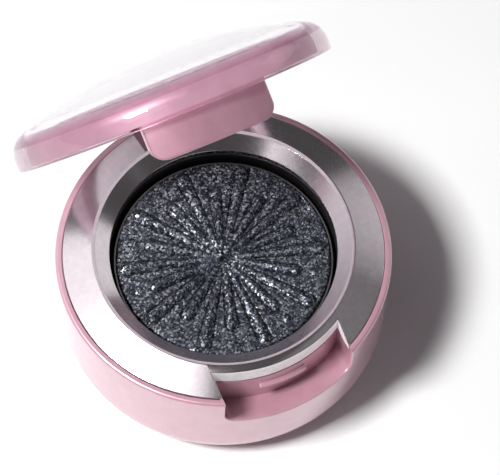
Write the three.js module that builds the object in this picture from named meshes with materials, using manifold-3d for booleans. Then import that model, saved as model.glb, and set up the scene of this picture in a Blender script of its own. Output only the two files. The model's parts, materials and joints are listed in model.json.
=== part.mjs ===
// Single round eyeshadow compact: a bowl-shaped base with a raised metallised bezel round a
// pressed-powder pan, and a clear-domed lid on a pin hinge at the back.
// Millimetres, +Z up, +Y towards the hinge. The origin is the centre of the flat underside.
// The lid is modelled shut, then turned open about the hinge pin.
import * as THREE from 'three';
import { mergeVertices } from 'three/addons/utils/BufferGeometryUtils.js';
import Module from 'manifold-3d';

const wasm = await Module();
wasm.setup();

// ---- driving dimensions ----
const ROUND_SEGMENTS = 56;       // facets round every large circle
const GAP = 0.3;                 // air left between pieces that touch on the real object
const MORE = 3;                  // how far a cutting tool runs past what it cuts

const DECK = 15.5;               // height of the bezel's outer edge
const BOWL_R = 19.9;             // widest radius of the base
const BOWL_CORNER = 4.5;         // round between wall and underside
const BOWL_DRAFT = 2 * Math.PI / 180;
const BOWL_WALL = 1.6;
const BOWL_FLOOR = 1.8;
const CAVITY_LEAN = 0.5;         // the bowl's inner wall leans in by this much at its foot
const RIM_ROUND = 0.5;           // round on the bowl's top edge
const RIM_TOP = DECK - 0.1;
const REBATE_R = 19.3;           // seat of the bezel
const REBATE_Z = DECK - 1.3;

const BEZEL_R = 19.0;
const BEZEL_SKIRT = 1.0;         // height of the bezel's outer edge
const LIP_R = 15.45;             // crest of the raised lip
const LIP_RISE = 1.6;            // crest above the deck
const WELL_R = 13.45;            // opening round the pan
const WELL_EDGE = 0.3;           // inner edge of the lip above the deck
const BEZEL_PLATE = 0.95;        // thickness of the bezel
const CREST = 0.25;              // half-width of the eased top of the lip
const CREST_DROP = 0.1;          // the lip's inner shoulder below its crest
const WELL_LAND = 0.3;           // flat under the inner edge of the lip
const LIP_HOLLOW = 0.2;          // extra depth of the hollow under the lip
const SKIRT_HOLLOW = 0.75;       // the hollow's height below the deck at the skirt
const FLANGE = 0.8;              // wall that lines the notch in the bezel, down to the skirt
const FLANGE_SINK = 0.1;         // the flange's own top, under the bezel's face

const TRAY_WALL = 0.85;
const TRAY_TOP = DECK - 0.9;
const TRAY_FLOOR_TOP = DECK - 6.4;
const TRAY_FLOOR = 1.0;
const TRAY_BOSS_R = [12.5, 13.7];

const PAN_R = 13.0;              // standard 26 mm pan
const PAN_WALL = 0.4;
const PAN_CORNER = 0.3;
const PAN_TOP = DECK - 1.9;
const PAN_BOTTOM = DECK - 5.4;
const GLUE_R = 8;
const GLUE_THICK = 0.4;
const CAKE_R = 12.7;
const CAKE_TOP = DECK - 1.2;
const CAKE_EDGE = [0.2, 0.1];    // eased edge of the cake, inward and down
const CAKE_OVERLAP = 0.1;        // extra air between the cake's overhang and the pan's edge

const NOTCH_HALF = 8.1;          // front notch for the lid's closing tab
const NOTCH_WALL_R = 16.3;
const NOTCH_DEPTH = 5.7;         // at the inner wall
const NOTCH_RISE = 17 * Math.PI / 180;
const NOTCH_CORNER = 1.2;
const NOTCH_SIDE = 1.4;          // wall left beside and under the notch
const CATCH_HALF = 2.95;
const CATCH_Z = [DECK - 3.35, DECK - 2.65];
const CATCH_R = 16.8;

const PIN_Y = 17.0;
const PIN_Z = DECK - 4.4;
const PIN_R = 0.75;
const PIN_HALF = 4.8;
const PIN_BORE_R = 0.95;
const SLOT_HALF = 3.1;
const SLOT_BOTTOM = DECK - 6.9;
const SLOT_BEZEL_R = 15.6;
const EAR_HALF = 5.7;
const BLOCK_INNER_R = 14.9;      // blocks stop here, clear of the pan tray

const OPEN_ANGLE = 61.6 * Math.PI / 180;
const LID_Z = DECK + 0.5;        // underside of the dome's rim with the lid shut
const DOME_R = 19.6;
const DOME_FOOT_R = 19.5;
const DOME_HEIGHT = 7.1;
const DOME_CROWN_R = 55;
const DOME_SHOULDER = 3.0;
const CUP_R = 17.9;
const CUP_HEIGHT = 4.4;
const CUP_CROWN_R = 162;
const CUP_ROUND = 1.9;
const CUP_WALL = 1.1;
const SKIRT_R = 16.5;
const SKIRT_EDGE = [0.35, 0.95]; // skirt's lower edge, outside and inside, follows the bezel
const SKIRT_STEP = 0.6;          // the cup's roof meets the skirt this far inside it
const SKIRT_HEAD = 0.2;          // and the skirt rises to this far under the liner's top
const DOME_LEDGE = 0.2;          // inner edge of the dome's foot above its rim
const LINER_R = 16.2;
const LINER_H = [1.4, 2.2];
const TAB_HALF = 7.7;
const TAB_DROP = 4.3;
const TAB_INNER_R = 16.95;
const TAB_CORNER = 1.9;
const TAB_TOP = 1.2;
const GROOVE_HALF = 3.3;
const GROOVE_H = [-4.0, -3.0];
const GROOVE_R = 17.3;
const KNUCKLE_HALF = 2.8;
const KNUCKLE_R = 1.7;
const ARM_Y = [16.0, 17.6];

// ---- shape helpers ----
const v2 = (x, y) => new THREE.Vector2(x, y);

// Points on a circle in the profile plane, from one angle to another.
function arc(cx, cy, radius, from, to, steps) {
  return Array.from({ length: steps + 1 }, (_, i) => {
    const a = from + (to - from) * i / steps;
    return v2(cx + radius * Math.cos(a), cy + radius * Math.sin(a));
  });
}

function toSolid(geometry) {
  const bare = geometry.index ? geometry.clone() : mergeVertices(geometry);
  bare.deleteAttribute('normal');
  bare.deleteAttribute('uv');
  const merged = mergeVertices(bare, 1e-4);
  return new wasm.Manifold(new wasm.Mesh({
    numProp: 3,
    vertProperties: new Float32Array(merged.attributes.position.array),
    triVerts: new Uint32Array(merged.index.array),
  }));
}

function toGeometry(solid) {
  const mesh = solid.getMesh();
  const geometry = new THREE.BufferGeometry();
  geometry.setAttribute('position', new THREE.BufferAttribute(mesh.vertProperties, 3));
  geometry.setIndex(new THREE.BufferAttribute(mesh.triVerts, 1));
  geometry.computeVertexNormals();
  return geometry;
}

// Turns a (radius, height) profile about Z. It starts and ends on the axis or closes on itself.
function turned(profile) {
  const ends = [profile[0], profile[profile.length - 1]];
  const onAxis = ends.every((p) => p.x === 0);
  const points = onAxis ? profile : [...profile, profile[0].clone()];
  return toSolid(new THREE.LatheGeometry(points, ROUND_SEGMENTS).rotateX(Math.PI / 2));
}

function drum(radius, bottom, top) {
  return turned([v2(0, bottom), v2(radius, bottom), v2(radius, top), v2(0, top)]);
}

function block(x, y, z) {
  const geometry = new THREE.BoxGeometry(x[1] - x[0], y[1] - y[0], z[1] - z[0]);
  geometry.translate((x[0] + x[1]) / 2, (y[0] + y[1]) / 2, (z[0] + z[1]) / 2);
  return toSolid(geometry);
}

function barAlongX(radius, half, y, z) {
  const geometry = new THREE.CylinderGeometry(radius, radius, 2 * half, 32);
  return toSolid(geometry.rotateZ(-Math.PI / 2).translate(0, y, z));
}

// A plate outline in X and Z with round lower corners, run from y[0] to y[1].
function plate(half, bottom, top, corner, y) {
  const outline = new THREE.Shape([
    v2(half, top),
    v2(-half, top),
    ...arc(-half + corner, bottom + corner, corner, Math.PI, 1.5 * Math.PI, 6),
    ...arc(half - corner, bottom + corner, corner, 1.5 * Math.PI, 2 * Math.PI, 6),
  ]);
  const geometry = new THREE.ExtrudeGeometry(outline, { depth: y[1] - y[0], bevelEnabled: false });
  return geometry.rotateX(Math.PI / 2).translate(0, y[1], 0);
}

// The quarter-round and flat crown shared by the dome and the cup under it:
// from the wall at `radius` over a shoulder round to the axis at `height`.
function crowned(radius, height, crownR, shoulder, steps) {
  const crownZ = height - crownR;
  const reach = radius - shoulder;
  const shoulderZ = crownZ + Math.sqrt((crownR - shoulder) ** 2 - reach ** 2);
  const meet = Math.atan2(shoulderZ - crownZ, reach);
  return [
    ...arc(reach, shoulderZ, shoulder, 0, meet, steps),
    ...arc(0, crownZ, crownR, meet, Math.PI / 2, 4).slice(1, -1),
    v2(0, height),
  ];
}

const lifted = (points, z) => points.map((p) => v2(p.x, p.y + z));

// ---- base ----
function bowlProfile() {
  const wallTop = RIM_TOP - RIM_ROUND;
  const wallFoot = BOWL_CORNER * (1 - Math.sin(BOWL_DRAFT));
  const footWallR = BOWL_R - (wallTop - wallFoot) * Math.tan(BOWL_DRAFT);
  const cornerX = footWallR - BOWL_CORNER * Math.cos(BOWL_DRAFT);
  return [
    v2(0, 0),
    ...arc(cornerX, BOWL_CORNER, BOWL_CORNER, -Math.PI / 2, -BOWL_DRAFT, 8),
    ...arc(BOWL_R - RIM_ROUND, wallTop, RIM_ROUND, 0, Math.PI / 2, 4),
    v2(0, RIM_TOP),
  ];
}

function cavity() {
  const innerR = BOWL_R - BOWL_WALL;
  const corner = BOWL_CORNER - BOWL_WALL;
  return turned([
    v2(0, BOWL_FLOOR),
    ...arc(innerR - CAVITY_LEAN - corner, BOWL_FLOOR + corner, corner, -Math.PI / 2, 0, 5),
    v2(innerR, REBATE_Z),
    v2(REBATE_R, REBATE_Z),
    v2(REBATE_R, DECK + MORE),
    v2(0, DECK + MORE),
  ]);
}

// The space that the lid's tab drops into: a scoop with a rising floor, outside NOTCH_WALL_R.
function notchSpace() {
  const scoop = plate(NOTCH_HALF, -NOTCH_DEPTH, 2 * MORE, NOTCH_CORNER, [-3 * MORE, MORE]);
  scoop.rotateX(-NOTCH_RISE).translate(0, -NOTCH_WALL_R, DECK);
  return toSolid(scoop).subtract(drum(NOTCH_WALL_R, 0, DECK + 3 * MORE));
}

const slotSpace = (innerR) => block(
  [-SLOT_HALF, SLOT_HALF],
  [BLOCK_INNER_R - 1, BOWL_R + MORE],
  [SLOT_BOTTOM, DECK + MORE],
).subtract(drum(innerR, 0, DECK + 2 * MORE));

function baseShell() {
  const notchHalf = NOTCH_HALF + NOTCH_SIDE;
  const notchBlock = block(
    [-notchHalf, notchHalf],
    [-BOWL_R, -BLOCK_INNER_R + MORE],
    [DECK - NOTCH_DEPTH - NOTCH_SIDE, REBATE_Z],
  );
  const hingeBlock = block([-EAR_HALF, EAR_HALF], [BLOCK_INNER_R - MORE, BOWL_R], [0, REBATE_Z]);
  const boss = turned([
    v2(TRAY_BOSS_R[0], 0),
    v2(TRAY_BOSS_R[1], 0),
    v2(TRAY_BOSS_R[1], TRAY_FLOOR_TOP - TRAY_FLOOR - GAP),
    v2(TRAY_BOSS_R[0], TRAY_FLOOR_TOP - TRAY_FLOOR - GAP),
  ]);
  const blocks = notchBlock.add(hingeBlock).subtract(drum(BLOCK_INNER_R, -MORE, DECK));
  const catchBar = block([-CATCH_HALF, CATCH_HALF], [-CATCH_R, -BLOCK_INNER_R], CATCH_Z)
    .intersect(drum(CATCH_R, 0, DECK));
  return turned(bowlProfile())
    .subtract(cavity().subtract(boss).subtract(blocks))
    .subtract(notchSpace())
    .subtract(slotSpace(BLOCK_INNER_R))
    .subtract(barAlongX(PIN_BORE_R, PIN_HALF + GAP, PIN_Y, PIN_Z))
    .add(catchBar);
}

function bezelRing() {
  const coneSlope = LIP_RISE / (BEZEL_R - LIP_R);
  const coneZ = (radius) => DECK + (BEZEL_R - radius) * coneSlope;
  const skirtInnerR = BEZEL_R - BEZEL_PLATE;
  const skirtZ = DECK - BEZEL_SKIRT;
  const underEdgeZ = DECK + WELL_EDGE - BEZEL_PLATE;
  const ring = turned([
    v2(BEZEL_R, skirtZ),
    v2(BEZEL_R, DECK),
    v2(LIP_R + CREST, coneZ(LIP_R + CREST)),
    v2(LIP_R, DECK + LIP_RISE),
    v2(LIP_R - CREST, DECK + LIP_RISE - CREST_DROP),
    v2(WELL_R, DECK + WELL_EDGE),
    v2(WELL_R, underEdgeZ),
    v2(WELL_R + WELL_LAND, underEdgeZ),
    v2(LIP_R - CREST_DROP, DECK + LIP_RISE - BEZEL_PLATE - LIP_HOLLOW),
    v2(skirtInnerR, DECK - SKIRT_HOLLOW),
    v2(skirtInnerR, skirtZ),
  ]);
  const flangeR = NOTCH_WALL_R - FLANGE;
  const flange = turned([
    v2(flangeR, skirtZ),
    v2(BEZEL_R - FLANGE_SINK, skirtZ),
    v2(BEZEL_R - FLANGE_SINK, coneZ(BEZEL_R) - FLANGE_SINK),
    v2(flangeR, coneZ(flangeR) - FLANGE_SINK),
  ]).intersect(block(
    [-NOTCH_HALF - FLANGE, NOTCH_HALF + FLANGE],
    [-BOWL_R, 0],
    [0, DECK + MORE],
  ));
  return ring.add(flange).subtract(notchSpace()).subtract(slotSpace(SLOT_BEZEL_R));
}

const panTray = () => turned([
  v2(0, TRAY_FLOOR_TOP - TRAY_FLOOR),
  v2(WELL_R + TRAY_WALL, TRAY_FLOOR_TOP - TRAY_FLOOR),
  v2(WELL_R + TRAY_WALL, TRAY_TOP),
  v2(WELL_R, TRAY_TOP),
  v2(WELL_R, TRAY_FLOOR_TOP),
  v2(0, TRAY_FLOOR_TOP),
]);

const eyeshadowPan = () => turned([
  v2(0, PAN_BOTTOM),
  v2(PAN_R - PAN_CORNER, PAN_BOTTOM),
  v2(PAN_R, PAN_BOTTOM + PAN_CORNER),
  v2(PAN_R, PAN_TOP),
  v2(PAN_R - PAN_WALL, PAN_TOP),
  v2(PAN_R - PAN_WALL, PAN_BOTTOM + PAN_WALL),
  v2(0, PAN_BOTTOM + PAN_WALL),
]);

// The pressed powder fills the pan and stands a little over its edge.
const powderCake = () => turned([
  v2(0, PAN_BOTTOM + PAN_WALL + GAP),
  v2(PAN_R - PAN_WALL - GAP, PAN_BOTTOM + PAN_WALL + GAP),
  v2(PAN_R - PAN_WALL - GAP, PAN_TOP),
  v2(CAKE_R, PAN_TOP + GAP + CAKE_OVERLAP),
  v2(CAKE_R, CAKE_TOP - CAKE_EDGE[1]),
  v2(CAKE_R - CAKE_EDGE[0], CAKE_TOP),
  v2(0, CAKE_TOP),
]);

const panAdhesive = () => drum(GLUE_R, PAN_BOTTOM - GAP - GLUE_THICK, PAN_BOTTOM - GAP);

// ---- lid, shut ----
const lidDome = () => turned([
  v2(0, LID_Z + CUP_HEIGHT + GAP),
  ...lifted(crowned(CUP_R + GAP, CUP_HEIGHT + GAP, CUP_CROWN_R, CUP_ROUND + GAP, 4), LID_Z)
    .reverse().slice(1),
  v2(CUP_R + GAP, LID_Z + DOME_LEDGE),
  v2(DOME_FOOT_R, LID_Z),
  ...lifted(crowned(DOME_R, DOME_HEIGHT, DOME_CROWN_R, DOME_SHOULDER, 6), LID_Z),
]);

function lidCup() {
  const shell = turned([
    ...lifted([v2(0, CUP_HEIGHT - CUP_WALL)], LID_Z),
    ...lifted(arc(0, CUP_HEIGHT - CUP_WALL - CUP_CROWN_R, CUP_CROWN_R, Math.PI / 2,
      Math.acos((SKIRT_R - SKIRT_STEP) / CUP_CROWN_R), 2).slice(1), LID_Z),
    v2(SKIRT_R, LID_Z + LINER_H[1] - SKIRT_HEAD),
    v2(SKIRT_R, LID_Z + SKIRT_EDGE[1]),
    v2(CUP_R, LID_Z + SKIRT_EDGE[0]),
    ...lifted(crowned(CUP_R, CUP_HEIGHT, CUP_CROWN_R, CUP_ROUND, 5), LID_Z),
  ]);
  const tabTube = drum(CUP_R, 0, LID_Z + MORE).subtract(drum(TAB_INNER_R, -MORE, LID_Z + 2 * MORE));
  const tab = toSolid(plate(TAB_HALF, LID_Z - TAB_DROP, LID_Z + TAB_TOP, TAB_CORNER, [-BOWL_R, 0]))
    .intersect(tabTube);
  const groove = block(
    [-GROOVE_HALF, GROOVE_HALF],
    [-GROOVE_R, 0],
    GROOVE_H.map((h) => LID_Z + h),
  ).intersect(drum(GROOVE_R, 0, LID_Z));
  const arm = block([-KNUCKLE_HALF, KNUCKLE_HALF], ARM_Y, [PIN_Z, LID_Z + TAB_TOP])
    .add(barAlongX(KNUCKLE_R, KNUCKLE_HALF, PIN_Y, PIN_Z))
    .subtract(barAlongX(PIN_BORE_R, KNUCKLE_HALF + MORE, PIN_Y, PIN_Z));
  return shell.add(tab.subtract(groove)).add(arm);
}

const lidLiner = () => drum(LINER_R, LID_Z + LINER_H[0], LID_Z + LINER_H[1]);

// ---- materials ----
function finish(color, roughness, metalness, opacity = 1) {
  return new THREE.MeshStandardMaterial({
    color, roughness, metalness, opacity, transparent: opacity < 1,
  });
}

const PEARL_PINK = finish(0xe3b9c6, 0.25, 0.1);
const DUSTY_PINK = finish(0xcc94a6, 0.25, 0.1);
const PEARL_WHITE = finish(0xede6ea, 0.35, 0.1);
const METALLISED = finish(0xc9b6c2, 0.28, 0.8);
const BLACK_PLASTIC = finish(0x17151a, 0.5, 0);
const TINPLATE = finish(0xb8b8bc, 0.35, 0.9);
const CHARCOAL_POWDER = finish(0x30343d, 0.8, 0.2);
const GLUE = finish(0xe8e2cf, 0.6, 0);
const STEEL = finish(0xa8a8ac, 0.3, 1);
const CLEAR = finish(0xf6e6ec, 0.05, 0, 0.35);

// ---- assembly ----
function piece(name, solid, material) {
  const mesh = new THREE.Mesh(toGeometry(solid), material);
  mesh.name = name;
  return mesh;
}

const compact = new THREE.Group();
compact.add(
  piece('base_shell', baseShell(), PEARL_PINK),
  piece('bezel_ring', bezelRing(), METALLISED),
  piece('pan_tray', panTray(), BLACK_PLASTIC),
  piece('eyeshadow_pan', eyeshadowPan(), TINPLATE),
  piece('pan_adhesive', panAdhesive(), GLUE),
  piece('powder_cake', powderCake(), CHARCOAL_POWDER),
  piece('hinge_pin', barAlongX(PIN_R, PIN_HALF, PIN_Y, PIN_Z), STEEL),
);

const lidParts = new THREE.Group();
lidParts.position.set(0, -PIN_Y, -PIN_Z);
lidParts.add(
  piece('lid_cup', lidCup(), DUSTY_PINK),
  piece('lid_liner', lidLiner(), PEARL_WHITE),
  piece('lid_dome', lidDome(), CLEAR),
);

const lid = new THREE.Group();
lid.position.set(0, PIN_Y, PIN_Z);
lid.rotation.x = -OPEN_ANGLE;
lid.add(lidParts);
compact.add(lid);

export default compact;
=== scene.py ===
"""Looks of the round eyeshadow compact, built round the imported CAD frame.

Shapes are made in millimetres, shut and upright in the part's frame, and scaled to metres
when they are finished. The lid's pieces are first turned open about the hinge pin, by the
angle that the joint's range gives.
"""
import json
import math

import bmesh
import bpy
import numpy as np
from mathutils import Matrix, Vector

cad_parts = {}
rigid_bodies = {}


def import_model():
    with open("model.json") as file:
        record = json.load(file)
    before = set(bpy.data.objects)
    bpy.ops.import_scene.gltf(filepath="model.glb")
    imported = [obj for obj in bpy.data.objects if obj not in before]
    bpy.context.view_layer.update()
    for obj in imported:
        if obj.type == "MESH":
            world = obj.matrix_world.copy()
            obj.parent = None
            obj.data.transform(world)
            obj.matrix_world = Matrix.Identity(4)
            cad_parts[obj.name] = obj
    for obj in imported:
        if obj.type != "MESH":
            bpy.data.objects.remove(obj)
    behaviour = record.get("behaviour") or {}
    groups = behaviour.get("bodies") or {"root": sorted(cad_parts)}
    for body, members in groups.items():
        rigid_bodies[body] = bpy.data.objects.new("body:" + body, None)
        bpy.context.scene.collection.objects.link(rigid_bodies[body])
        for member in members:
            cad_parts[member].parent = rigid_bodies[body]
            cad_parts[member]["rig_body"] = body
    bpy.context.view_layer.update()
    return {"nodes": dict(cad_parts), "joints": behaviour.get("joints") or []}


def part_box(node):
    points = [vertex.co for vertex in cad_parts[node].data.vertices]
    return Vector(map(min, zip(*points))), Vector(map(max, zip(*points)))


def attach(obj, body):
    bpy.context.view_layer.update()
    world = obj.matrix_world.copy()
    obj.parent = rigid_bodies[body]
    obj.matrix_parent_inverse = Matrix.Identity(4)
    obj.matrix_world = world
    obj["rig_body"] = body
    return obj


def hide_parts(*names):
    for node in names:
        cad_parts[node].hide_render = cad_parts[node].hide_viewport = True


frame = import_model()

PER_METRE = 1000                  # millimetres
MM = 1 / PER_METRE
ROUND = 288                       # steps round every turned piece


# ---- places from the frame, in millimetres ----
def node_box(node):
    low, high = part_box(node)
    return low * PER_METRE, high * PER_METRE


SHELL_HI = node_box("base_shell")[1]
BEZEL_LO, BEZEL_HI = node_box("bezel_ring")
TRAY_LO, TRAY_HI = node_box("pan_tray")
PAN_LO, PAN_HI = node_box("eyeshadow_pan")
CAKE_HI = node_box("powder_cake")[1]
PIN_LO, PIN_HI = node_box("hinge_pin")
CUP_R = node_box("lid_cup")[1].x
DOME_R = node_box("lid_dome")[1].x
LINER_R = node_box("lid_liner")[1].x
HINGE = frame["joints"][0]
PIN = Vector(HINGE["pos_m"]) * PER_METRE
OPEN_ANGLE = -math.radians(HINGE["range_deg"][0])

# ---- sizes shared by several pieces ----
DECK = BEZEL_LO.z + 1.0           # height of the bezel's outer edge
LID_Z = DECK + 0.5                # underside of the dome's rim with the lid shut
BEZEL_R = BEZEL_HI.x
LIP_R = 15.45                     # crest of the raised lip
LIP_TOP = BEZEL_HI.z
CONE_SLOPE = (LIP_TOP - DECK) / (BEZEL_R - LIP_R)
DRAFT_SLOPE = math.tan(math.radians(2))
WELL_R = 13.45                    # opening round the pan
NOTCH_HALF = 8.1                  # front notch for the lid's closing tab
NOTCH_WALL_R = 16.3
NOTCH_DEPTH = 5.7                 # at the inner wall
NOTCH_RISE = math.tan(math.radians(17))
NOTCH_CORNER = 1.2
SLOT_HALF = 3.1                   # hinge slot at the back
SLOT_BOTTOM = DECK - 6.9
SLOT_BEZEL_R = 15.6
BLOCK_INNER_R = 14.9              # the shell's inner blocks stop here, clear of the tray
SEAM = 0.06                       # hairline gap between fitted pieces
PIN_BORE_R = 0.9
CUP_HEIGHT = 4.4                  # heights of the lid's pieces start at LID_Z
CUP_CROWN_R = 162
CUP_SHOULDER = 1.9
CUP_BORE_R = 16.5                 # inside the cup's skirt
LINER_FOOT = 1.4
DOME_HEIGHT = 7.07
DOME_CROWN_R = 55
DOME_SHOULDER = 3.0


# ---- mesh helpers ----
def make_object(name, verts, faces):
    mesh = bpy.data.meshes.new(name)
    mesh.from_pydata([tuple(v) for v in verts], [], [tuple(f) for f in faces])
    mesh.update()
    obj = bpy.data.objects.new(name, mesh)
    bpy.context.scene.collection.objects.link(obj)
    return obj


def rounded(corners, closed=True, steps=7):
    """Corners (x, y, radius) as an outline whose corners are arcs."""
    out = []
    count = len(corners)
    for i, (x, y, radius) in enumerate(corners):
        here = Vector((x, y))
        if radius <= 0 or (not closed and i in (0, count - 1)):
            out.append(here)
            continue
        to_prev = (Vector(corners[i - 1][:2]) - here).normalized()
        to_next = (Vector(corners[(i + 1) % count][:2]) - here).normalized()
        half = to_prev.angle(to_next) / 2
        centre = here + (to_prev + to_next).normalized() * radius / math.sin(half)
        start = here + to_prev * radius / math.tan(half) - centre
        end = here + to_next * radius / math.tan(half) - centre
        turn = start.angle_signed(end)
        for s in range(steps + 1):
            spoke = start.copy()
            spoke.rotate(Matrix.Rotation(-turn * s / steps, 2))
            out.append(centre + spoke)
    return out


def lathe(name, profile, steps=ROUND):
    """Turns an outline of (radius, height) points about Z. It closes on itself, or starts
    and ends on the axis."""
    open_ended = profile[0][0] < 1e-9 and profile[-1][0] < 1e-9
    ring_points = profile[1:-1] if open_ended else profile
    angles = np.arange(steps) * 2 * math.pi / steps
    verts = []
    for r, z in ring_points:
        verts += [(r * math.cos(a), r * math.sin(a), z) for a in angles]
    rings = len(ring_points)
    faces = []
    for i in range(rings - 1 if open_ended else rings):
        j = (i + 1) % rings
        for k in range(steps):
            n = (k + 1) % steps
            faces.append((i * steps + k, i * steps + n, j * steps + n, j * steps + k))
    if open_ended:
        for point, ring, flip in ((profile[0], 0, True), (profile[-1], rings - 1, False)):
            verts.append((0, 0, point[1]))
            hub = len(verts) - 1
            for k in range(steps):
                a, b = ring * steps + k, ring * steps + (k + 1) % steps
                faces.append((hub, b, a) if flip else (hub, a, b))
    return make_object(name, verts, faces)


def drum(name, radius, bottom, top):
    return lathe(name, [(0, bottom), (radius, bottom), (radius, top), (0, top)])


def block(name, low, high, bevel=0.0, cuts_x=0):
    """A box between two corners, its edges rounded."""
    bm = bmesh.new()
    bmesh.ops.create_cube(bm, size=1)
    size = Vector(high) - Vector(low)
    middle = (Vector(high) + Vector(low)) / 2
    for v in bm.verts:
        v.co = Vector(v.co[i] * size[i] + middle[i] for i in range(3))
    if bevel:
        bmesh.ops.bevel(
            bm, geom=list(bm.edges), offset=bevel, segments=4, profile=0.5, affect="EDGES"
        )
    for i in range(1, cuts_x):
        x = low[0] + size.x * i / cuts_x
        geom = list(bm.verts) + list(bm.edges) + list(bm.faces)
        bmesh.ops.bisect_plane(bm, geom=geom, plane_co=(x, 0, 0), plane_no=(1, 0, 0))
    obj = make_object(name, [], [])
    bm.to_mesh(obj.data)
    bm.free()
    return obj


def rod_x(name, radius, half, y, z, bevel=0.0, steps=64):
    """A round bar along X."""
    outline = [(0, -half), (radius, -half + bevel), (radius, half - bevel), (0, half)]
    if bevel:
        outline[1:1] = [(radius - bevel, -half)]
        outline[-1:-1] = [(radius - bevel, half)]
    obj = lathe(name, outline, steps)
    turn = Matrix.Rotation(math.pi / 2, 4, "Y")
    obj.data.transform(Matrix.Translation((0, y, z)) @ turn)
    return obj


def drop(obj):
    mesh = obj.data
    bpy.data.objects.remove(obj)
    bpy.data.meshes.remove(mesh)


def combine(obj, tool, how, keep_tool=False):
    """Cuts, joins or intersects obj with tool."""
    step = obj.modifiers.new("combine", "BOOLEAN")
    step.operation = how
    step.solver = "MANIFOLD"
    step.object = tool
    bpy.context.view_layer.update()
    shape = obj.evaluated_get(bpy.context.evaluated_depsgraph_get())
    mesh = bpy.data.meshes.new_from_object(shape)
    old = obj.data
    obj.modifiers.clear()
    obj.data = mesh
    mesh.name = obj.name
    bpy.data.meshes.remove(old)
    if not keep_tool:
        drop(tool)
    return obj


def face_out(obj):
    """Drops loose points and turns every face outward."""
    bm = bmesh.new()
    bm.from_mesh(obj.data)
    loose = [v for v in bm.verts if not v.link_faces]
    bmesh.ops.delete(bm, geom=loose, context="VERTS")
    bmesh.ops.recalc_face_normals(bm, faces=bm.faces)
    bm.to_mesh(obj.data)
    bm.free()
    obj.data.update()
    return obj


def grid_solid(name, points):
    """A solid from a grid of points[i][j][k]: its six outer sheets, joined."""
    points = np.asarray(points)
    size = points.shape[:3]
    index = np.arange(np.prod(size)).reshape(size)
    faces = []
    for axis in range(3):
        for end in (0, -1):
            sheet = np.take(index, end, axis)
            quads = (sheet[:-1, :-1], sheet[1:, :-1], sheet[1:, 1:], sheet[:-1, 1:])
            faces += np.stack(quads, -1).reshape(-1, 4).tolist()
    return face_out(make_object(name, points.reshape(-1, 3).tolist(), faces))


def smooth(obj, angle=32, even=False):
    """Shades the mesh smooth, with creases kept where it turns sharply. With even, large
    faces lead the shading, so that trimmed edges don't dent the reflections."""
    bm = bmesh.new()
    bm.from_mesh(obj.data)
    bmesh.ops.remove_doubles(bm, verts=bm.verts, dist=2e-4)
    bmesh.ops.recalc_face_normals(bm, faces=bm.faces)
    bm.to_mesh(obj.data)
    bm.free()
    obj.data.polygons.foreach_set("use_smooth", [True] * len(obj.data.polygons))
    obj.data.set_sharp_from_angle(angle=math.radians(angle))
    obj.data.update()
    if even:
        step = obj.modifiers.new("even shading", "WEIGHTED_NORMAL")
        step.keep_sharp = True
        step.weight = 80
    return obj


def finish_piece(obj, body, node, material, turn=None):
    """Scales a shape to metres, turns it, and hangs it on its body in the node's place."""
    if turn:
        obj.data.transform(turn)
    obj.data.transform(Matrix.Scale(MM, 4))
    obj.data.update()
    obj.data.materials.clear()
    obj.data.materials.append(material)
    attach(obj, body)
    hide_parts(node)
    return obj


# ---- material helpers ----
class Nodes:
    """A material under construction: short calls to add and link nodes. Its textures are
    placed in millimetres on the piece."""

    def __init__(self, name):
        self.material = bpy.data.materials.new(name)
        self.material.use_nodes = True
        self.tree = self.material.node_tree
        self.shader = self.tree.nodes["Principled BSDF"]
        self.output = self.tree.nodes["Material Output"]
        coords = self.add("TexCoord")
        scaled = self.add("VectorMath", operation="SCALE")
        scaled.inputs["Scale"].default_value = PER_METRE
        self.link(coords.outputs["Object"], scaled.inputs[0])
        self.place = scaled.outputs["Vector"]

    def add(self, kind, **settings):
        node = self.tree.nodes.new("ShaderNode" + kind)
        for key, value in settings.items():
            setattr(node, key, value)
        return node

    def link(self, source, target):
        self.tree.links.new(source, target)

    def set(self, **values):
        for key, value in values.items():
            self.shader.inputs[key.replace("_", " ")].default_value = value

    def noise(self, per_mm, detail=3.0):
        node = self.add("TexNoise")
        node.inputs["Scale"].default_value = per_mm
        node.inputs["Detail"].default_value = detail
        node.inputs["Roughness"].default_value = 0.55
        self.link(self.place, node.inputs["Vector"])
        return node.outputs["Fac"]

    def cells(self, per_mm):
        node = self.add("TexVoronoi")
        node.inputs["Scale"].default_value = per_mm
        self.link(self.place, node.inputs["Vector"])
        return node

    def ramp(self, source, stops):
        """stops: (position, colour or grey) pairs."""
        node = self.add("ValToRGB")
        band = node.color_ramp.elements
        while len(band) < len(stops):
            band.new(0.5)
        for element, (position, value) in zip(band, stops):
            element.position = position
            grey = isinstance(value, (int, float))
            element.color = (value, value, value, 1) if grey else (*value, 1)
        self.link(source, node.inputs["Fac"])
        return node.outputs["Color"]

    def span(self, source, low, high, from_low=0.3, from_high=0.7):
        node = self.add("MapRange")
        node.inputs["From Min"].default_value = from_low
        node.inputs["From Max"].default_value = from_high
        node.inputs["To Min"].default_value = low
        node.inputs["To Max"].default_value = high
        self.link(source, node.inputs["Value"])
        return node.outputs["Result"]

    def multiply(self, first, second):
        node = self.add("Mix", data_type="RGBA", blend_type="MULTIPLY")
        node.inputs["Factor"].default_value = 1.0
        self.link(first, node.inputs["A"])
        self.link(second, node.inputs["B"])
        return node.outputs["Result"]

    def bump(self, source, strength, depth_mm):
        node = self.add("Bump")
        node.inputs["Strength"].default_value = strength
        node.inputs["Distance"].default_value = depth_mm * MM
        self.link(source, node.inputs["Height"])
        return node.outputs["Normal"]


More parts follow.
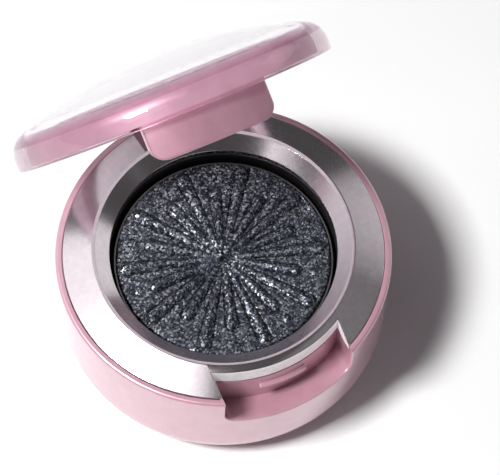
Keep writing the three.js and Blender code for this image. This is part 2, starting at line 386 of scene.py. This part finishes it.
def pearl_plastic(name, deep, light, coat_roughness=0.1):
    """Glossy moulded plastic, clouded with pearl, under a bright lacquer."""
    low, high = 0.34, 0.38        # roughness of the plastic under the lacquer
    m = Nodes(name)
    tone = m.ramp(m.noise(0.5, 3), [(0.3, deep), (0.7, light)])
    m.link(tone, m.shader.inputs["Base Color"])
    m.link(m.span(m.noise(0.8, 1), low, high), m.shader.inputs["Roughness"])
    m.link(m.bump(m.noise(0.7, 2), 0.08, 0.02), m.shader.inputs["Normal"])
    m.set(Metallic=0.3, Coat_Weight=1.0, Coat_Roughness=coat_roughness, Coat_IOR=1.75)
    return m.material


def metallised(name, deep, light):
    """Satin vacuum-metallised plastic."""
    m = Nodes(name)
    m.link(m.ramp(m.noise(1.4, 5), [(0.3, deep), (0.7, light)]), m.shader.inputs["Base Color"])
    m.link(m.span(m.noise(3.2), 0.16, 0.21), m.shader.inputs["Roughness"])
    m.link(m.bump(m.noise(0.9, 2), 0.06, 0.02), m.shader.inputs["Normal"])
    m.set(Metallic=1.0)
    return m.material


def moulded(name, colour, roughness, metallic=0.0):
    """Plain satin plastic or metal with a fine surface."""
    m = Nodes(name)
    deep = tuple(c * 0.85 for c in colour)
    spread = 0.06
    m.link(m.ramp(m.noise(1.2), [(0.3, deep), (0.7, colour)]), m.shader.inputs["Base Color"])
    gloss = m.span(m.noise(4), roughness - spread, roughness + spread)
    m.link(gloss, m.shader.inputs["Roughness"])
    m.link(m.bump(m.noise(6, 2), 0.2, 0.02), m.shader.inputs["Normal"])
    m.set(Metallic=metallic)
    return m.material


def glitter_powder(name):
    """Pressed charcoal powder, dense with silver flakes that each lie at their own tilt, with
    shade painted into its colour in the grooves beside the star's rays."""
    most_lean = 0.5
    m = Nodes(name)
    flakes = m.cells(4.6)
    grains = m.cells(9)
    apart = m.add("SeparateColor")
    m.link(flakes.outputs["Color"], apart.inputs["Color"])
    flake_tone = m.ramp(apart.outputs["Red"], [
        (0.0, (0.013, 0.014, 0.020)),
        (0.5, (0.078, 0.087, 0.116)),
        (0.8, (0.34, 0.37, 0.44)),
        (0.93, (0.83, 0.87, 0.93)),
        (1.0, (1.0, 1.0, 1.0)),
    ])
    grain_tone = m.ramp(grains.outputs["Color"], [(0.0, 0.16), (0.4, 0.42), (0.8, 1.0)])
    # painted shade: the groove mask darkens the powder's colour to about a third beside the
    # rays
    groove = m.add("Attribute", attribute_name="groove")
    painted_groove_shade = m.ramp(groove.outputs["Fac"], [(0.0, 1.0), (0.8, 0.34)])
    tone = m.multiply(m.multiply(flake_tone, grain_tone), painted_groove_shade)
    m.link(tone, m.shader.inputs["Base Color"])
    m.link(m.span(apart.outputs["Red"], 0.55, 0.48, 0.4, 0.9), m.shader.inputs["Roughness"])
    m.link(m.span(apart.outputs["Red"], 0.72, 0.92, 0.5, 0.95), m.shader.inputs["Metallic"])
    tilt = m.add("VectorMath", operation="SUBTRACT")
    tilt.inputs[1].default_value = (0.5, 0.5, 0.5)
    m.link(flakes.outputs["Color"], tilt.inputs[0])
    lean = m.add("VectorMath", operation="MULTIPLY_ADD")
    lean.inputs[1].default_value = (most_lean, most_lean, most_lean)
    m.link(tilt.outputs["Vector"], lean.inputs[0])
    m.link(m.bump(grains.outputs["Distance"], 0.5, 0.04), lean.inputs[2])
    unit = m.add("VectorMath", operation="NORMALIZE")
    m.link(lean.outputs["Vector"], unit.inputs[0])
    m.link(unit.outputs["Vector"], m.shader.inputs["Normal"])
    m.set(Specular_IOR_Level=0.2)
    return m.material


def clear_plastic(name, deep, light, shade, coat=1.0):
    """Clear moulded plastic, tinted at its faces. Its refraction is slight, and light passes
    straight through it to what lies under it."""
    m = Nodes(name)
    m.link(m.ramp(m.noise(0.5), [(0.3, deep), (0.7, light)]), m.shader.inputs["Base Color"])
    m.link(m.span(m.noise(0.8, 1), 0.03, 0.06), m.shader.inputs["Roughness"])
    m.set(IOR=1.03, Transmission_Weight=1.0)
    m.set(Coat_Weight=coat, Coat_IOR=1.5, Coat_Roughness=0.04)
    path = m.add("LightPath")
    through = m.add("BsdfTransparent")
    through.inputs["Color"].default_value = (*shade, 1)
    whole = m.add("MixShader")
    m.link(path.outputs["Is Shadow Ray"], whole.inputs["Fac"])
    m.link(m.shader.outputs[0], whole.inputs[1])
    m.link(through.outputs[0], whole.inputs[2])
    m.link(whole.outputs[0], m.output.inputs["Surface"])
    return m.material


# ---- base ----
def shell_outline():
    """Underside with its foot ring, round corner, drafted wall, rim, bezel seat, cavity and
    the boss that carries the tray."""
    rim, wide = SHELL_HI.z, SHELL_HI.x
    corner, floor_top, foot_groove = 4.5, 1.8, 0.35
    seat_r = BEZEL_R + SEAM
    seat_z = BEZEL_LO.z - SEAM
    boss_top = TRAY_LO.z - SEAM
    return rounded([
        (0, 0.0, 0),
        (11.2, 0.0, 0.3),
        (11.6, foot_groove, 0.2),
        (12.4, foot_groove, 0.2),
        (12.8, 0.0, 0.3),
        (wide - rim * DRAFT_SLOPE, 0.0, corner),
        (wide, rim, 0.42),
        (seat_r, rim, 0.12),
        (seat_r, seat_z, 0),
        (18.3, seat_z, 0.2),
        (17.8, floor_top, 2.9),
        (13.7, floor_top, 0.3),
        (13.7, boss_top, 0.2),
        (12.5, boss_top, 0.2),
        (12.5, floor_top, 0.3),
        (0, floor_top, 0),
    ], closed=False, steps=10)


def cone_height(radius):
    """Height of the bezel's outer cone at a radius, level outside it."""
    return DECK + max(0.0, BEZEL_R - radius) * CONE_SLOPE


def notch_section(radius, spread):
    """The scoop's section at a radius, as columns of (x, z) points from the dished floor up
    past the flared mouth. The end columns stand on the floor's rounded corners."""
    lead = 0.22                   # height of the flare at the mouth
    dish = 0.25                   # how far the floor dips in the middle
    past = 1.2                    # how far the columns run past the mouth
    flare = 0.7
    foot_steps, floor_steps = 8, 12
    top = cone_height(radius)
    floor = DECK - NOTCH_DEPTH + (radius - NOTCH_WALL_R) * NOTCH_RISE - spread
    half = NOTCH_HALF + spread
    flat = half - NOTCH_CORNER
    feet = []
    for s in range(foot_steps + 1):
        a = math.pi / 2 * s / foot_steps
        lift = NOTCH_CORNER * (1 - math.sin(a))
        feet.append((flat + NOTCH_CORNER * math.cos(a), floor + lift))
    for s in range(1, floor_steps):
        t = 1 - s / floor_steps
        feet.append((flat * t, floor - dish * (1 - t * t)))
    feet += [(0, floor - dish)] + [(-x, z) for x, z in reversed(feet)]
    columns = []
    for x, z in feet:
        column = [(x, z), (x, top - past), (x, top - lead)]
        for t in (0.3, 0.6, 0.85, 1.0):
            flared = half + flare * lead * (1 - math.sqrt(1 - t * t))
            column.append((x * flared / half, top - lead * (1 - t)))
        column.append((x * (half + 0.9) / half, top + past))
        columns.append(column)
    return columns


def notch_tool():
    """The solid that the front notch leaves out: a scoop bent round the wall, its mouth
    flared at the wall's face."""
    wall = SHELL_HI.x
    flare = 0.35
    steps = [(NOTCH_WALL_R - 1.5, 0.0), (NOTCH_WALL_R, 0.0), (17.6, 0.0)]
    steps += [(BEZEL_R, 0.0), (wall - flare, 0.0)]
    for t in (0.3, 0.55, 0.75, 0.88, 0.96):
        steps.append((wall - flare * (1 - t), 0.55 * flare * (1 - math.sqrt(1 - t * t))))
    steps.append((wall + 0.9, 1.0))
    rows = []
    for r, spread in steps:
        row = []
        for column in notch_section(r, spread):
            ray = [(x, z, r - max(0.0, DECK - z) * DRAFT_SLOPE) for x, z in column]
            row.append([(x, -math.sqrt(here * here - x * x), z) for x, z, here in ray])
        rows.append(row)
    scoop = grid_solid("notch_tool", rows)
    wall_top = cone_height(NOTCH_WALL_R)
    core = lathe("notch_core", rounded([
        (0, 2, 0),
        (NOTCH_WALL_R, 2, 0),
        (NOTCH_WALL_R, wall_top, 0.16),
        (NOTCH_WALL_R - 1.0, wall_top + 0.45, 0),
        (NOTCH_WALL_R - 1.0, wall_top + 6, 0),
        (0, wall_top + 6, 0),
    ], closed=False))
    return combine(scoop, core, "DIFFERENCE")


def slot_tool(inner_r):
    """The solid that the hinge slot leaves out at the back."""
    low = (-SLOT_HALF, 13.9, SLOT_BOTTOM)
    high = (SLOT_HALF, 23, DECK + 4)
    tool = block("slot_tool", low, high, bevel=0.5)
    return combine(tool, drum("slot_core", inner_r, 0, 25), "DIFFERENCE")


def bend_round(obj, radius):
    """Bends a block that lies along X round the Z axis: its Y becomes a distance from
    radius, with -Y outward."""
    for v in obj.data.vertices:
        r = radius - v.co.y
        a = v.co.x / radius
        v.co = Vector((r * math.sin(a), -r * math.cos(a), v.co.z))
    obj.data.update()
    return obj


def base_shell(material):
    shell = lathe("base_shell_fine", shell_outline())
    top = DECK - 1.3
    half = NOTCH_HALF + 1.4
    pocket = block("pocket", (-half, -18.9, DECK - 7.1), (half, -14, top))
    ears = block("ears", (-5.7, 14, 1), (5.7, 18.6, top))
    keep_out = drum("keep_out", BLOCK_INNER_R, -1, 30)
    inside = lathe("inside", rounded([
        (0, 0.6, 0), (18.0, 0.6, 2.9), (18.6, 8, 1), (18.6, 30, 0), (0, 30, 0),
    ], closed=False))
    for part in (pocket, ears):
        combine(part, keep_out, "DIFFERENCE", keep_tool=True)
        combine(part, inside, "INTERSECT", keep_tool=True)
        combine(shell, part, "UNION")
    drop(keep_out)
    drop(inside)
    combine(shell, notch_tool(), "DIFFERENCE")
    combine(shell, slot_tool(BLOCK_INNER_R), "DIFFERENCE")
    combine(shell, rod_x("bore", PIN_BORE_R, 5.1, PIN.y, PIN.z), "DIFFERENCE")
    catch = block(
        "catch", (-2.95, -0.55, DECK - 3.35), (2.95, 0.6, DECK - 2.65), bevel=0.14, cuts_x=14
    )
    combine(shell, bend_round(catch, NOTCH_WALL_R), "UNION")
    smooth(shell, 35, even=True)
    finish_piece(shell, "base", "base_shell", material)


def show_cut(ring, material):
    """The upright faces that the notch cut through the bezel take a second material."""
    near, upright = 0.3, 0.35
    ring.data.materials.append(material)
    for face in ring.data.polygons:
        at = face.center * PER_METRE
        on_inner_wall = abs(math.hypot(at.x, at.y) - NOTCH_WALL_R) < near
        on_side_wall = abs(at.x) > NOTCH_HALF - near
        in_notch = at.y < 0 and abs(at.x) < NOTCH_HALF + near and at.z > BEZEL_LO.z + 0.01
        if (on_inner_wall or on_side_wall) and in_notch and abs(face.normal.z) < upright:
            face.material_index = 1


def bezel_ring(material, cut_material):
    skirt = BEZEL_LO.z
    ring = lathe("bezel_ring_fine", rounded([
        (BEZEL_R, skirt, 0.05),
        (BEZEL_R, DECK, 0.10),
        (LIP_R + 0.06, LIP_TOP + 0.02, 0.22),
        (LIP_R - 0.3, LIP_TOP - 0.06, 0.25),
        (WELL_R, DECK + 0.25, 0.12),
        (WELL_R, DECK - 0.65, 0.05),
        (WELL_R + 0.5, DECK - 0.65, 0.1),
        (LIP_R - 0.1, LIP_TOP - 1.15, 0.3),
        (18.2, DECK - 0.7, 0.1),
        (18.2, skirt, 0.05),
    ], steps=8))
    flange_r = NOTCH_WALL_R - 0.8
    flange = lathe("flange", [
        (flange_r, skirt),
        (BEZEL_R - 0.1, skirt),
        (BEZEL_R - 0.1, DECK - 0.1),
        (flange_r, cone_height(flange_r) - 0.1),
    ])
    reach = block("reach", (-NOTCH_HALF - 0.8, -22, 0), (NOTCH_HALF + 0.8, 0, 30))
    combine(flange, reach, "INTERSECT")
    combine(ring, flange, "UNION")
    combine(ring, notch_tool(), "DIFFERENCE")
    combine(ring, slot_tool(SLOT_BEZEL_R), "DIFFERENCE")
    smooth(ring, 35, even=True)
    finish_piece(ring, "base", "bezel_ring", material)
    show_cut(ring, cut_material)


def cup_shape(name, outer, top, wall, floor_z, floor_t, corner):
    """A round dish with a rounded foot and an eased edge."""
    return lathe(name, rounded([
        (0, floor_z, 0),
        (outer, floor_z, corner),
        (outer, top, wall * 0.3),
        (outer - wall, top, wall * 0.3),
        (outer - wall, floor_z + floor_t, corner),
        (0, floor_z + floor_t, 0),
    ], closed=False))


def pan_tray(material):
    wall = TRAY_HI.x - WELL_R
    tray = cup_shape("pan_tray_fine", TRAY_HI.x, DECK - 0.67, wall, TRAY_LO.z, 1.0, 0.4)
    finish_piece(smooth(tray), "base", "pan_tray", material)


def eyeshadow_pan(material):
    pan = cup_shape("eyeshadow_pan_fine", PAN_HI.x, PAN_HI.z, 0.25, PAN_LO.z, 0.3, 0.45)
    finish_piece(smooth(pan), "base", "eyeshadow_pan", material)


def star_relief(x, y):
    """Height of the pressed star: 20 teardrop rays, long and short in turn, and a dot past
    the end of each short one. Also how deep each point lies in a groove beside a ray, from 0
    to 1, which sinks the ground there and sets how much shade is painted into the powder's
    colour."""
    rays, start, start_w = 20, 1.5, 0.20
    long_end, short_end, dot_at = 11.5, 8.7, 10.9
    long_w, short_w, dot_w = 0.74, 0.68, 0.50
    rise, crest = 0.52, 1.4
    moat, moat_w = 0.12, 0.26     # the groove pressed round each ray
    height = np.zeros_like(x)
    groove_depth_and_painted_shade = np.zeros_like(x)
    for k in range(rays):
        a = math.pi / 2 + 2 * math.pi * k / rays
        along = x * math.cos(a) + y * math.sin(a)
        across = np.abs(y * math.cos(a) - x * math.sin(a))
        end, end_w = (long_end, long_w) if k % 2 == 0 else (short_end, short_w)
        t = np.clip((along - start) / (end - start), 0, 1)
        w = start_w + (end_w - start_w) * t
        off = np.hypot(np.maximum(along - end, 0), across)
        near = np.where(along > start, np.clip(off / w, 0, 1), 1)
        ridge = 0.7 * (1 - near ** crest) + 0.3 * np.sqrt(1 - near ** 2)
        beside = np.clip((off - w) / moat_w, 0, 1)
        fade = np.clip((along - start) / 2.5, 0, 1) * np.clip(1.3 - along + end, 0.3, 1)
        groove = np.sin(math.pi * beside) * fade
        groove_depth_and_painted_shade = np.where(near < 1, 0, np.maximum(groove_depth_and_painted_shade, groove))
        height = np.where(near < 1, rise * w / end_w * ridge, height)
        if k % 2:
            off = np.hypot(along - dot_at, across)
            dot = 0.6 * rise * np.clip(1 - (off / dot_w) ** 2, 0, 1)
            height = np.maximum(height, dot)
    return height - moat * groove_depth_and_painted_shade * (height <= 0), groove_depth_and_painted_shade


def powder_cake(material):
    """The cake's relief is real: a fine polar grid lifted by the star and by loose grain."""
    around, out = 660, 128
    base = CAKE_HI.z - 0.22
    edge = CAKE_HI.x
    soft, edge_drop = 0.5, 0.35   # width and depth of the rounded edge
    grain = 0.016
    rng = np.random.default_rng(7)
    radii = edge * (np.arange(1, out + 1) / out) ** 0.85
    angles = np.arange(around) * 2 * math.pi / around
    r, a = np.meshgrid(radii, angles, indexing="ij")
    x, y = r * np.cos(a), r * np.sin(a)
    relief, groove_depth_and_painted_shade = star_relief(x, y)
    z = base + relief + grain * rng.standard_normal(r.shape)
    fall = np.clip((r - (edge - soft)) / soft, 0, 1)
    z -= edge_drop * (1 - np.sqrt(np.maximum(0, 1 - fall ** 2)))
    verts = np.stack([x, y, z], -1).reshape(-1, 3).tolist()
    faces = []
    for i in range(out - 1):
        for k in range(around):
            n = (k + 1) % around
            here, there = i * around, (i + 1) * around
            faces.append((here + k, there + k, there + n, here + n))
    verts.append((0, 0, base))
    hub = len(verts) - 1
    faces += [(hub, k, (k + 1) % around) for k in range(around)]
    lip = (out - 1) * around
    inner = PAN_HI.x - 0.30
    for radius, height in (
        (edge, PAN_HI.z + 0.1), (inner, PAN_HI.z - 0.05), (inner, PAN_LO.z + 0.32)
    ):
        start = len(verts)
        verts += [(radius * math.cos(t), radius * math.sin(t), height) for t in angles]
        for k in range(around):
            n = (k + 1) % around
            faces.append((lip + k, start + k, start + n, lip + n))
        lip = start
    faces.append(tuple(lip + k for k in reversed(range(around))))
    cake = make_object("powder_cake_fine", verts, faces)
    # the groove mask goes on the points, where the powder's material paints shade with it
    groove = cake.data.attributes.new("groove", "FLOAT", "POINT")
    groove.data.foreach_set("value", np.pad(groove_depth_and_painted_shade.ravel(), (0, len(verts) - groove_depth_and_painted_shade.size)))
    smooth(cake, 70)
    finish_piece(cake, "base", "powder_cake", material)


def hinge_pin(material):
    radius = (PIN_HI.z - PIN_LO.z) / 2
    pin = rod_x("hinge_pin_fine", radius, PIN_HI.x, PIN.y, PIN.z, bevel=0.12)
    finish_piece(smooth(pin), "base", "hinge_pin", material)


# ---- lid, shut ----
LID_TURN = (
    Matrix.Translation(PIN)
    @ Matrix.Rotation(-OPEN_ANGLE, 4, "X")
    @ Matrix.Translation(-PIN)
)


def crowned(radius, height, crown_r, shoulder, steps=14):
    """A wall, a shoulder round and a flat crown, from the wall up to the axis."""
    reach = radius - shoulder
    crown_z = height - crown_r
    shoulder_z = crown_z + math.sqrt((crown_r - shoulder) ** 2 - reach ** 2)
    meet = math.atan2(shoulder_z - crown_z, reach)
    out = []
    for s in range(steps + 1):
        a = meet * s / steps
        out.append((reach + shoulder * math.cos(a), shoulder_z + shoulder * math.sin(a)))
    for s in range(1, steps):
        a = meet + (math.pi / 2 - meet) * s / steps
        out.append((crown_r * math.cos(a), crown_z + crown_r * math.sin(a)))
    out.append((0, height))
    return out


def lifted(points):
    return [(r, LID_Z + h) for r, h in points]


def closing_tab():
    """The curved plate at the front, its edges fully rounded."""
    half, drop_h, corner, top = 7.7, 4.3, 1.9, 1.2
    inner, outer = 16.95, CUP_R
    mid_r, thick = (inner + outer) / 2, (outer - inner) / 2
    ease = 0.28
    square = 0.22                 # how square the section is: 1 is an ellipse
    columns, loop = 84, 40
    rings = []
    for i in range(columns + 1):
        x = -math.cos(math.pi * i / columns) * half
        side = max(0.0, abs(x) - (half - corner))
        low = -drop_h + corner - math.sqrt(max(0.0, corner ** 2 - side ** 2))
        edge = max(0.0, abs(x) - (half - ease)) / ease
        half_t = thick - ease + ease * math.sqrt(max(0.0, 1 - edge ** 2))
        half_h, mid_h = (top - low) / 2, (top + low) / 2
        ring = []
        for k in range(loop):
            a = 2 * math.pi * k / loop
            c, s = math.cos(a), math.sin(a)
            r = mid_r + half_t * math.copysign(abs(c) ** square, c)
            h = mid_h + half_h * math.copysign(abs(s) ** (square * 0.35), s)
            ring.append((x, -math.sqrt(r * r - x * x), LID_Z + h))
        rings.append(ring)
    verts = [p for ring in rings for p in ring]
    faces = []
    for i in range(columns):
        for k in range(loop):
            n = (k + 1) % loop
            faces.append((i * loop + k, i * loop + n, (i + 1) * loop + n, (i + 1) * loop + k))
    faces.append(tuple(range(loop)))
    faces.append(tuple(columns * loop + k for k in reversed(range(loop))))
    return face_out(make_object("tab", verts, faces))


def shut_place(face):
    """Where a finished face's middle lies with the lid shut, in millimetres, and how far the
    face looks up the lid's axis, from -1 to 1."""
    up = LID_TURN.to_3x3() @ Vector((0, 0, 1))
    return LID_TURN.inverted() @ (face.center * PER_METRE), face.normal.dot(up)


def show_cup_faces(cup, band_painted_light_material, crown_material):
    """The cup's side wall and crown, which the dome covers, take materials of their own: the
    wall a lighter, paler copy of the cup's pink, painted light that stands in for a broad
    sheen on it and makes up for the shade the dome's tinted rim casts on it, and the crown
    a pale grey-white.
    """
    cup.data.materials.append(band_painted_light_material)
    cup.data.materials.append(crown_material)
    crown_from, band_from, band_wide = 3, 0.2, 2
    for face in cup.data.polygons:
        at, rise = shut_place(face)
        away = math.hypot(at.x, at.y)
        if rise > 0.90 and at.z > LID_Z + crown_from:
            face.material_index = 2
        elif away > CUP_R - band_wide and at.z > LID_Z + band_from and rise > -0.3:
            face.material_index = 1


def lid_cup(material, band_painted_light_material, crown_material):
    crown = crowned(CUP_R, CUP_HEIGHT, CUP_CROWN_R, CUP_SHOULDER)
    under = [(0, 3.3), (8, 3.1), (15.2, 2.62), (16.2, 2.3)]
    skirt = [(CUP_BORE_R, 1.9), (CUP_BORE_R, 0.98), (16.58, 0.92)]
    skirt += [(CUP_R - 0.1, 0.36), (CUP_R, 0.42)]
    cup = lathe("lid_cup_fine", lifted(under + skirt + crown))
    combine(cup, closing_tab(), "UNION")
    half, knuckle_r = 2.8, 1.7
    arm = block("arm", (-half, 16.0, PIN.z), (half, 17.6, LID_Z + 1.2), bevel=0.25)
    combine(arm, rod_x("barrel", knuckle_r, half, PIN.y, PIN.z, bevel=0.2), "UNION")
    combine(cup, arm, "UNION")
    combine(cup, rod_x("bore", PIN_BORE_R, 4, PIN.y, PIN.z), "DIFFERENCE")
    smooth(cup, 35, even=True)
    finish_piece(cup, "lid", "lid_cup", material, LID_TURN)
    show_cup_faces(cup, band_painted_light_material, crown_material)


def lid_liner(material):
    wide = LINER_R + 0.22
    groove = [(13.6, LINER_FOOT), (13.8, 1.5), (14.3, 1.5), (14.5, LINER_FOOT)]
    edge = [(wide - 0.15, LINER_FOOT), (wide, 1.5), (wide, 2.15), (wide - 0.1, 2.2)]
    liner = lathe("lid_liner_fine", lifted([(0, LINER_FOOT), *groove, *edge, (0, 2.2)]))
    finish_piece(smooth(liner), "lid", "lid_liner", material, LID_TURN)


def show_dome_faces(dome, crown_material, inside_material, shoulder_material):
    """The dome's broad crown is clearer than its tinted rim, its shoulder is tinted deeper,
    and its inside is plain."""
    dome.data.materials.append(crown_material)
    dome.data.materials.append(inside_material)
    dome.data.materials.append(shoulder_material)
    hollow_top = LID_Z + CUP_HEIGHT + 0.3
    for face in dome.data.polygons:
        at, rise = shut_place(face)
        away = math.hypot(at.x, at.y)
        if away < CUP_R + 0.2 and at.z < hollow_top:
            face.material_index = 2
        elif away < DOME_R - DOME_SHOULDER and rise > 0:
            face.material_index = 1
        elif rise > 0.45:
            face.material_index = 3


def lid_dome(material, crown_material, inside_material, shoulder_material):
    air = 0.12                    # the dome fits over the cup with this much air
    outside = crowned(DOME_R, DOME_HEIGHT, DOME_CROWN_R, DOME_SHOULDER, 18)
    inside = crowned(CUP_R + air, CUP_HEIGHT + air, CUP_CROWN_R, 2.0, 14)
    foot = [(CUP_R + air, 0.25), (CUP_R + air + 0.08, 0.17)]
    foot += [(DOME_R - 0.35, 0.02), (DOME_R - 0.12, 0.05), (DOME_R - 0.02, 0.2)]
    dome = lathe("lid_dome_fine", lifted(list(reversed(inside)) + foot + outside))
    finish_piece(smooth(dome, 50), "lid", "lid_dome", material, LID_TURN)
    show_dome_faces(dome, crown_material, inside_material, shoulder_material)


# ---- studio ----
CAMERA_AZIMUTH = math.radians(-26.13)
CAMERA_ELEVATION = math.radians(63.16)
CAMERA_ROLL = math.radians(1.03)
CAMERA_DISTANCE = 500
CAMERA_LENS = 305.3               # on a 36 mm sensor
CAMERA_SHIFT = (3.12, 1.74)       # the aim, right of and above the middle of the deck


def camera():
    a, e, roll = CAMERA_AZIMUTH, CAMERA_ELEVATION, CAMERA_ROLL
    back = Vector((math.sin(a) * math.cos(e), -math.cos(a) * math.cos(e), math.sin(e)))
    level = Vector((math.cos(a), math.sin(a), 0))
    over = back.cross(level)
    right = level * math.cos(roll) + over * math.sin(roll)
    up = over * math.cos(roll) - level * math.sin(roll)
    data = bpy.data.cameras.new("camera")
    data.lens = CAMERA_LENS
    data.sensor_width = 36
    data.clip_start = 0.05
    data.clip_end = 50
    cam = bpy.data.objects.new("camera", data)
    bpy.context.scene.collection.objects.link(cam)
    aim = Vector((0, 0, DECK)) + right * CAMERA_SHIFT[0] + up * CAMERA_SHIFT[1]
    turn = Matrix((right, up, back)).transposed().to_4x4()
    cam.matrix_world = Matrix.Translation((aim + back * CAMERA_DISTANCE) * MM) @ turn
    bpy.context.scene.camera = cam


def softbox(name, azimuth, elevation, distance, size, glow, spin=0):
    """A rectangular light aimed at the object, in metres. glow is its brightness, where a
    white card reads 1, and spin turns it about its own middle."""
    data = bpy.data.lights.new(name, "AREA")
    data.shape = "RECTANGLE"
    data.size, data.size_y = size
    data.energy = math.pi * size[0] * size[1] * glow
    lamp = bpy.data.objects.new(name, data)
    bpy.context.scene.collection.objects.link(lamp)
    a, e = math.radians(azimuth), math.radians(elevation)
    way = Vector((math.cos(a) * math.cos(e), math.sin(a) * math.cos(e), math.sin(e)))
    lamp.location = way * distance + Vector((0, 0, DECK * MM))
    spun = Matrix.Rotation(math.radians(spin), 3, "Z").to_quaternion()
    lamp.rotation_euler = (way.to_track_quat("Z", "Y") @ spun).to_euler()
    lamp.visible_camera = False
    return lamp


def studio_floor():
    half = 3
    corners = [(-half, -half, 0), (half, -half, 0), (half, half, 0), (-half, half, 0)]
    floor = make_object("floor", corners, [(0, 1, 2, 3)])
    floor.location.z = -0.02 * MM
    m = Nodes("floor_white")
    m.link(m.ramp(m.noise(0.003), [(0.3, 0.80), (0.7, 0.82)]), m.shader.inputs["Base Color"])
    m.set(Roughness=0.9, Specular_IOR_Level=0.1)
    floor.data.materials.append(m.material)


def studio_world():
    """A white room for the camera, a dim one for the light that reaches the object."""
    world = bpy.data.worlds.new("studio")
    world.use_nodes = True
    tree = world.node_tree
    path = tree.nodes.new("ShaderNodeLightPath")
    behind = tree.nodes["Background"]
    behind.inputs["Color"].default_value = (0.72, 0.76, 1.0, 1)
    behind.inputs["Strength"].default_value = 0.025
    for ray, strength in (
        ("Is Glossy Ray", 0.07), ("Is Transmission Ray", 1.0), ("Is Camera Ray", 1.0)
    ):
        front = tree.nodes.new("ShaderNodeBackground")
        front.inputs["Color"].default_value = (1, 1, 1, 1)
        front.inputs["Strength"].default_value = strength
        mix = tree.nodes.new("ShaderNodeMixShader")
        tree.links.new(path.outputs[ray], mix.inputs["Fac"])
        tree.links.new(behind.outputs[0], mix.inputs[1])
        tree.links.new(front.outputs[0], mix.inputs[2])
        behind = mix
    tree.links.new(behind.outputs[0], tree.nodes["World Output"].inputs["Surface"])
    bpy.context.scene.world = world


def studio():
    """Floor, world and lamps. Gives the lamps by name."""
    studio_floor()
    studio_world()
    bpy.context.scene.view_settings.view_transform = "Standard"
    lamps = [
        softbox("key", 180, 56, 0.60, (0.15, 0.15), 60),
        softbox("left_bank", 155, 57, 0.62, (0.94, 0.40), 1.2, spin=19),
        softbox("under_lid", -90, 12, 0.60, (0.50, 0.30), 4),
        softbox("right_low", 9, 16, 0.70, (0.48, 0.35), 0.8, spin=-25),
        softbox("back_low", 120, 8, 0.80, (0.72, 0.25), 0.65),
        softbox("top_fill", -15, 55, 0.60, (0.60, 0.35), 0.15),
        softbox("front_low", -85, 10, 0.60, (0.50, 0.26), 0.9),
    ]
    return {lamp.name: lamp for lamp in lamps}


def gather(name, wanted):
    group = bpy.data.collections.new(name)
    for obj in bpy.context.scene.objects:
        if obj.type == "MESH" and wanted(obj):
            group.objects.link(obj)
    return group


def shine_past_lid(lamps):
    """Splits each (lamp, share) in two: the lamp lights the object, and a twin, share times as
    bright, lights the floor, where the open lid casts no shadow, so the floor behind it stays
    white."""
    pieces = gather("lit_pieces", lambda obj: obj.get("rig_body"))
    floor = gather("lit_floor", lambda obj: obj.name == "floor")
    casters = gather("shadow_casters", lambda obj: obj.get("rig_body") == "base")
    for lamp, share in lamps:
        twin = bpy.data.objects.new(lamp.name + "_on_floor", lamp.data.copy())
        bpy.context.scene.collection.objects.link(twin)
        twin.data.energy *= share
        twin.matrix_world = lamp.matrix_world
        twin.visible_camera = False
        twin.light_linking.receiver_collection = floor
        twin.light_linking.blocker_collection = casters
        lamp.light_linking.receiver_collection = pieces


def light_liner(lamp):
    """This lamp stands for the bright room under the lid: it lights only the liner."""
    liner = gather("lit_liner", lambda obj: obj.name == "lid_liner_fine")
    lamp.light_linking.receiver_collection = liner


# ---- build ----
camera()
lamps = studio()

shell_pink = pearl_plastic("pearl_pink_shell", (0.57, 0.315, 0.385), (0.62, 0.35, 0.425))
# painted shade: the lid's pink is a darker copy of the shell's, darkened where the lid's faces
# turn to the lamps
lid_pink = pearl_plastic("lid_pink", (0.43, 0.22, 0.28), (0.48, 0.25, 0.32))
# painted light: a lighter, paler copy of the cup's pink, for a broad white sheen and against
# the dome rim's shade
band_pink_painted_light = pearl_plastic(
    "band_pink_painted_light", (0.46, 0.315, 0.365), (0.51, 0.35, 0.405), coat_roughness=0.45
)
crown_white = moulded("crown_white", (0.47, 0.46, 0.475), 0.5)
liner_white = moulded("liner_pearl", (0.90, 0.87, 0.89), 0.4)
bezel_metal = metallised("metallised_mauve", (0.70, 0.63, 0.67), (0.77, 0.70, 0.74))
bezel_cut = moulded("bezel_cut", (1.0, 0.97, 0.98), 0.45, metallic=0.2)
# painted shade: the tray is near black, darker than black plastic, for the shadowed well round
# the pan
tray_black_painted_shade = moulded("black_tray", (0.012, 0.011, 0.013), 0.5)
pan_metal = moulded("pan_metal", (0.22, 0.22, 0.23), 0.45, metallic=1.0)
pin_steel = moulded("pin_steel", (0.62, 0.62, 0.64), 0.25, metallic=1.0)
powder = glitter_powder("charcoal_glitter")
glue = moulded("adhesive", (0.75, 0.70, 0.58), 0.6)
dome_shade = (0.85, 0.80, 0.83)
rim_shade = (0.56, 0.50, 0.53)
clear = clear_plastic("clear_dome", (0.57, 0.43, 0.49), (0.62, 0.48, 0.54), rim_shade)
clear_shoulder = clear_plastic(
    "clear_shoulder", (0.36, 0.22, 0.28), (0.40, 0.25, 0.32), rim_shade, coat=0.6
)
clear_crown = clear_plastic(
    "clear_crown", (0.91, 0.90, 0.91), (0.94, 0.93, 0.94), dome_shade, coat=0.5
)
clear_inside = clear_plastic(
    "clear_inside", (0.96, 0.93, 0.95), (0.99, 0.97, 0.98), dome_shade, coat=0.0
)

base_shell(shell_pink)
bezel_ring(bezel_metal, bezel_cut)
pan_tray(tray_black_painted_shade)
eyeshadow_pan(pan_metal)
powder_cake(powder)
hinge_pin(pin_steel)
glue_disc = frame["nodes"]["pan_adhesive"]
glue_disc.data.materials.clear()
glue_disc.data.materials.append(glue)
lid_cup(lid_pink, band_pink_painted_light, crown_white)
lid_liner(liner_white)
lid_dome(clear, clear_crown, clear_inside, clear_shoulder)
shine_past_lid([(lamps["key"], 1.22), (lamps["left_bank"], 0.25)])
light_liner(lamps["under_lid"])
